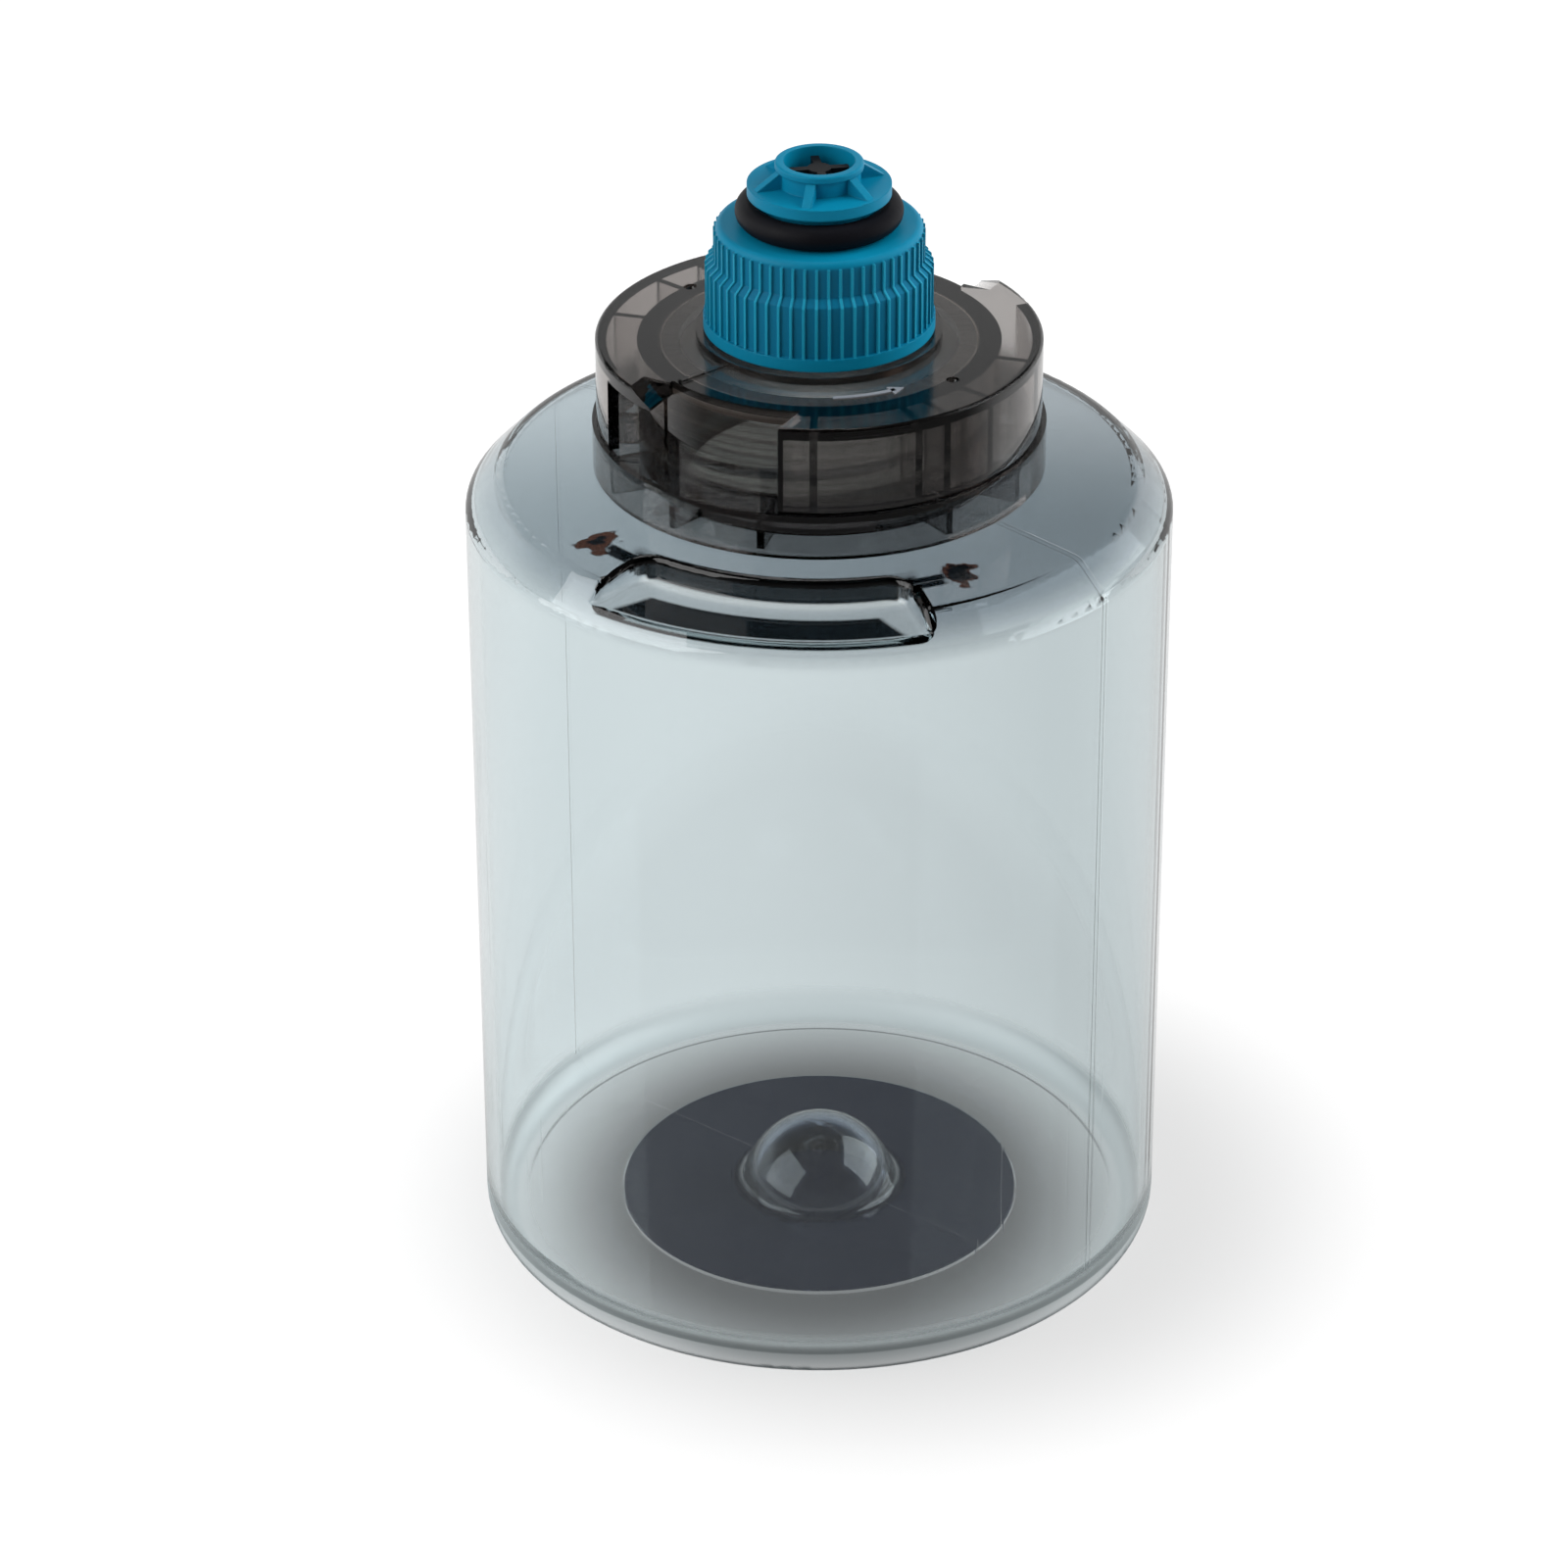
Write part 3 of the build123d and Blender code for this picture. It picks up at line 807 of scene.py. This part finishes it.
def satin(name, colours, roughness, scale, depth, edge=0.0, **values):
    """A grained finish between two colours and two roughnesses, with its edges rounded to the eye."""
    material, tree, shader = start_material(name, **values)
    grain = use_group(tree, fine_grain, Scale=scale)
    marks = use_group(tree, handling, Amount=SATIN_MARKS)
    join(tree, blend_colour(tree, grain.outputs["Cloud"], *colours), shader.inputs["Base Color"])
    shine = stretch(tree, grain.outputs["Cloud"], 0.0, 1.0, *roughness)
    polish = calculate(tree, "MULTIPLY", marks.outputs["Hairlines"], HAIRLINE_SHINE)
    join(tree, calculate(tree, "SUBTRACT", shine, polish), shader.inputs["Roughness"])
    bump = add_node(tree, "ShaderNodeBump", Strength=GRAIN_STRENGTH, Distance=depth)
    join(tree, grain.outputs["Height"], bump.inputs["Height"])
    if edge > 0.0:
        soft = add_node(tree, "ShaderNodeBevel", Radius=edge)
        join(tree, soft.outputs["Normal"], bump.inputs["Normal"])
    join(tree, bump.outputs["Normal"], shader.inputs["Normal"])
    return material


rubber = satin(
    "rubber_black", colours=((0.003, 0.003, 0.005), (0.006, 0.006, 0.009)), roughness=(0.5, 0.65),
    scale=1800.0, depth=0.00002, Specular_IOR_Level=0.15,
)
black_plastic = satin(
    "plastic_black", colours=((0.005, 0.005, 0.006), (0.009, 0.009, 0.010)), roughness=(0.4, 0.5),
    scale=2600.0, depth=0.00002, Specular_IOR_Level=0.2,
)
pad_dark = satin(
    "pad_dark", colours=((0.052, 0.055, 0.096), (0.060, 0.063, 0.106)), roughness=(0.5, 0.6),
    scale=2200.0, depth=0.00001, Specular_IOR_Level=0.15,
)
print("dark finishes:", [m.name for m in (rubber, black_plastic, pad_dark)])

# %% Pale finishes
seal_grey = satin(
    "seal_grey", colours=((0.40, 0.41, 0.41), (0.48, 0.49, 0.49)), roughness=(0.55, 0.65),
    scale=2000.0, depth=0.00003,
)
mark_frost = satin(
    "mark_frost", colours=((0.20, 0.22, 0.25), (0.27, 0.29, 0.32)), roughness=(0.5, 0.6),
    scale=2400.0, depth=0.00001,
)
cage_white = satin(
    "cage_white", colours=((0.70, 0.70, 0.68), (0.77, 0.77, 0.75)), roughness=(0.4, 0.5),
    scale=2600.0, depth=0.00002,
)
spring_steel = satin(
    "steel_wire", colours=((0.50, 0.50, 0.51), (0.62, 0.62, 0.62)), roughness=(0.22, 0.34),
    scale=3200.0, depth=0.00001, Metallic=1.0,
)
print("pale finishes:", [m.name for m in (seal_grey, mark_frost, cage_white, spring_steel)])

# %% Teal grip
VALLEY_SHADE_TEAL = (0.001, 0.175, 0.315)
CREST_HIGHLIGHT_TEAL = (0.012, 0.340, 0.520)

teal = satin(
    "teal_satin", colours=((0.001, 0.230, 0.390), (0.001, 0.250, 0.425)), roughness=(0.42, 0.50),
    scale=2600.0, depth=0.00001, edge=0.00025, Specular_IOR_Level=0.15,
)
tree = teal.node_tree
teal_colour = tree.nodes["Principled BSDF"].inputs["Base Color"]
colour = teal_colour.links[0].from_socket
lines = use_group(tree, grip)
# Painted highlight on the crests of the grip, painted shade in its valleys.
for label, tint in (("Valley", VALLEY_SHADE_TEAL), ("Crest", CREST_HIGHLIGHT_TEAL)):
    colour = blend_colour(tree, lines.outputs[label], colour, tint)
join(tree, colour, teal_colour)
print(teal.name, len(tree.nodes), "nodes")

# %% Dress the nodes
FINISHES = {
    "tank_shell": bottle_smoke,
    "base_pad": pad_dark,
    "neck_gasket": seal_grey,
    "lock_cap": cap_smoke,
    "spout_gasket": seal_grey,
    "valve_cap": teal,
    "nozzle_oring": rubber,
    "valve_poppet": black_plastic,
    "poppet_seal": rubber,
    "spring_cage": cage_white,
    "valve_spring": spring_steel,
}
for name, finish in FINISHES.items():
    mesh = frame["nodes"][name].data
    mesh.materials.clear()
    mesh.materials.append(finish)
    print(name, len(mesh.polygons), "triangles,", finish.name)

# %% [markdown]
# ## Screw threads
# The lock cap screws onto the neck and the valve cap onto the spout. A thread is one small section that
# is carried round and up at once, which is exactly what the Screw modifier does. The section starts as
# a plane, stood on edge and narrowed towards the crest; after the modifier is applied its open ends are
# scaled towards the axis and filled, so that the ridge runs out into the neck as a moulded thread does.

# %% Thread ridge
AXIS = (0.0, 0.0, 0.0)
RIDGE_ROOT = 0.00005
CREST_SHARE = 0.35
MERGE = 0.000001


def select_vertices(mesh, chosen):
    """Selects vertices by number. Only in object mode."""
    for vertex in mesh.vertices:
        vertex.select = vertex.index in chosen
    for edge in mesh.edges:
        edge.select = all(v in chosen for v in edge.vertices)
    for face in mesh.polygons:
        face.select = all(v in chosen for v in face.vertices)


def turn_selected(degrees, axis):
    """Turns what is selected in edit mode round the origin."""
    bpy.ops.transform.rotate(value=math.radians(degrees), orient_axis=axis, center_override=AXIS)


def carry_round(piece, turns, rise, steps, smooth):
    """Applies a Screw modifier that carries a section round the axis and up."""
    screw = piece.modifiers.new("screw", "SCREW")
    screw.angle = math.radians(360.0 * turns)
    screw.screw_offset = rise
    screw.steps = steps
    screw.render_steps = steps
    screw.use_smooth_shade = smooth
    bpy.ops.object.modifier_apply(modifier="screw")


def close_piece(sides, degrees):
    """Fills the open ends of the piece in edit mode, merges doubles and smooths the result."""
    bpy.ops.mesh.select_all(action="SELECT")
    bpy.ops.mesh.fill_holes(sides=sides)
    bpy.ops.mesh.remove_doubles(threshold=MERGE)
    bpy.ops.mesh.normals_make_consistent(inside=False)
    bpy.ops.object.mode_set(mode="OBJECT")
    bpy.ops.object.shade_smooth_by_angle(angle=math.radians(degrees))


print("thread helpers ready")


# %% One ridge
def thread_ridge(name, radius, depth, width, low, lead, turns, steps):
    """A ridge with its root just inside the radius, from one height upwards."""
    bpy.ops.mesh.primitive_plane_add(size=1.0, location=AXIS)
    ridge = bpy.context.object
    ridge.name = name
    outer = {v.index for v in ridge.data.vertices if v.co.x > 0.0}
    bpy.ops.object.mode_set(mode="EDIT")
    bpy.ops.mesh.select_all(action="SELECT")
    turn_selected(90, "X")
    bpy.ops.transform.resize(value=(depth + RIDGE_ROOT, 1.0, width), center_override=AXIS)
    bpy.ops.transform.translate(value=(radius + (depth - RIDGE_ROOT) / 2, 0.0, low))
    bpy.ops.object.mode_set(mode="OBJECT")
    select_vertices(ridge.data, outer)
    bpy.ops.object.mode_set(mode="EDIT")
    bpy.ops.mesh.select_mode(type="VERT")
    bpy.ops.transform.resize(value=(1.0, 1.0, CREST_SHARE), center_override=(0.0, 0.0, low))
    bpy.ops.mesh.select_all(action="SELECT")
    bpy.ops.mesh.delete(type="ONLY_FACE")
    bpy.ops.object.mode_set(mode="OBJECT")
    corners = len(ridge.data.vertices)
    carry_round(ridge, turns, lead * turns, steps, smooth=False)

    total = len(ridge.data.vertices)
    select_vertices(ridge.data, set(range(corners)) | set(range(total - corners, total)))
    bpy.ops.object.mode_set(mode="EDIT")
    inward = (radius - 2 * RIDGE_ROOT) / (radius + depth)
    bpy.ops.transform.resize(value=(inward, inward, 1.0), center_override=AXIS)
    close_piece(sides=corners, degrees=30)
    return ridge


def turned_copy(piece, name, degrees):
    """A copy with its own mesh, turned round the axis."""
    twin = piece.copy()
    twin.data = piece.data.copy()
    twin.name = name
    bpy.context.scene.collection.objects.link(twin)
    bpy.ops.object.select_all(action="DESELECT")
    twin.select_set(True)
    bpy.context.view_layer.objects.active = twin
    bpy.ops.object.mode_set(mode="EDIT")
    bpy.ops.mesh.select_all(action="SELECT")
    turn_selected(degrees, "Z")
    bpy.ops.object.mode_set(mode="OBJECT")
    return twin


print("ridge helpers ready")

# %% Neck and spout threads
NECK_RADIUS = 0.0206
NECK_STARTS = 3
SPOUT_RADIUS = 0.0112
RIDGE_DEPTH = 0.0005

bpy.ops.object.select_all(action="DESELECT")
first = thread_ridge(
    "neck_thread_1", NECK_RADIUS, RIDGE_DEPTH,
    width=0.0016, low=0.1215, lead=0.0114, turns=0.62, steps=56,
)
neck_threads = [first]
for number in range(1, NECK_STARTS):
    turn = 360.0 / NECK_STARTS * number
    neck_threads.append(turned_copy(first, f"neck_thread_{number + 1}", turn))
spout_thread = thread_ridge(
    "spout_thread", SPOUT_RADIUS, RIDGE_DEPTH,
    width=0.0012, low=0.1405, lead=0.0032, turns=1.75, steps=120,
)
for ridge in neck_threads:
    ridge.data.materials.append(bottle_smoke)
    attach(ridge, "tank")
spout_thread.data.materials.append(cap_smoke)
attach(spout_thread, "cap")
for ridge in (*neck_threads, spout_thread):
    print(ridge.name, len(ridge.data.polygons), "faces", [round(v * 1000, 2) for v in ridge.dimensions])

# %% [markdown]
# ## The spring in the valve
# The poppet is held shut by a small spring. When the nozzle is pushed onto the machine the poppet goes
# down and the spring gets shorter, so it can't be a rigid part of the CAD frame. Its wire is a circle
# stood on edge, which the Screw modifier carries round and up.

# %% Valve spring
WIRE_RADIUS = 0.00035
WIRE_SIDES = 14
SPRING_TURNS = 5
STEPS_PER_TURN = 32

spring_low, spring_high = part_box("valve_spring")
spring_length = spring_high[2] - spring_low[2]
bpy.ops.object.select_all(action="DESELECT")
bpy.ops.mesh.primitive_circle_add(vertices=WIRE_SIDES, radius=WIRE_RADIUS, location=AXIS)
spring = bpy.context.object
spring.name = "spring_coil"
bpy.ops.object.mode_set(mode="EDIT")
bpy.ops.mesh.select_all(action="SELECT")
turn_selected(90, "X")
bpy.ops.transform.translate(value=(spring_high[0] - WIRE_RADIUS, 0.0, spring_low[2] + WIRE_RADIUS))
bpy.ops.object.mode_set(mode="OBJECT")
rise = spring_length - 2 * WIRE_RADIUS
carry_round(spring, SPRING_TURNS, rise, STEPS_PER_TURN * SPRING_TURNS, smooth=True)
bpy.ops.object.mode_set(mode="EDIT")
close_piece(sides=WIRE_SIDES, degrees=40)
spring.data.materials.append(spring_steel)
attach(spring, "valve")
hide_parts("valve_spring")
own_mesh(spring)
print(spring.name, len(spring.data.polygons), "faces", [round(v * 1000, 2) for v in spring.dimensions])

# %% [markdown]
# ## A raised arrow on the cap
# The deck of the cap carries a plain raised arrow that shows which way the cap turns, in a frosted grey.
# Its shaft is a small upright rectangle that Spin carries round the axis; its head is a triangle
# extruded to the same height and joined to it.

# %% Arrow shaft
DECK_Z = 0.1368
ARROW_RADIUS = 0.0205
ARROW_RISE = 0.00018
ARROW_SINK = 0.00002
SHAFT_WIDTH = 0.0007
SHAFT_SWEEP = math.radians(24.0)
SHAFT_STEPS = 14

bpy.ops.object.select_all(action="DESELECT")
bpy.ops.mesh.primitive_plane_add(size=1.0, location=AXIS)
arrow = bpy.context.object
arrow.name = "turn_arrow"
bpy.ops.object.mode_set(mode="EDIT")
bpy.ops.mesh.select_all(action="SELECT")
bpy.ops.transform.resize(value=(ARROW_RISE, SHAFT_WIDTH, 1.0), center_override=AXIS)
turn_selected(90, "Y")
bpy.ops.transform.translate(value=(0.0, -ARROW_RADIUS, DECK_Z + ARROW_RISE / 2 - ARROW_SINK))
bpy.ops.mesh.spin(steps=SHAFT_STEPS, angle=SHAFT_SWEEP, center=AXIS, axis=(0.0, 0.0, 1.0))
bpy.ops.object.mode_set(mode="OBJECT")
print("shaft:", len(arrow.data.polygons), "faces")

# %% Arrow head
HEAD_RADIUS = 0.0013
ARROW_TURN = -40

bpy.ops.mesh.primitive_circle_add(vertices=3, radius=HEAD_RADIUS, fill_type="NGON", location=AXIS)
bpy.ops.object.mode_set(mode="EDIT")
bpy.ops.mesh.select_all(action="SELECT")
turn_selected(90, "Z")
bpy.ops.transform.translate(value=(0.0, -ARROW_RADIUS, DECK_Z - ARROW_SINK))
bpy.ops.mesh.extrude_region_move(TRANSFORM_OT_translate={"value": (0.0, 0.0, ARROW_RISE)})
bpy.ops.object.mode_set(mode="OBJECT")
arrow.select_set(True)
bpy.context.view_layer.objects.active = arrow
bpy.ops.object.join()
bpy.ops.object.mode_set(mode="EDIT")
bpy.ops.mesh.select_all(action="SELECT")
turn_selected(ARROW_TURN, "Z")
bpy.ops.mesh.normals_make_consistent(inside=False)
bpy.ops.object.mode_set(mode="OBJECT")
arrow.data.materials.append(mark_frost)
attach(arrow, "cap")
span = sorted(round(math.degrees(math.atan2(v.co.x, -v.co.y))) for v in arrow.data.vertices)
print(arrow.name, len(arrow.data.polygons), "faces, from", span[0], "to", span[-1], "degrees")

# %% [markdown]
# ## Light paths
# A ray that goes through the cap and the bottle crosses many walls, so it may bounce eleven times. The
# limits for mirrored and scattered light are lower, which keeps the render inside its time.

# %% Light paths
cycles = bpy.context.scene.cycles
cycles.max_bounces = 11
cycles.transmission_bounces = 11
cycles.glossy_bounces = 6
cycles.diffuse_bounces = 2
cycles.transparent_max_bounces = 24
print("bounces:", cycles.max_bounces, "in all,", cycles.glossy_bounces, "glossy")
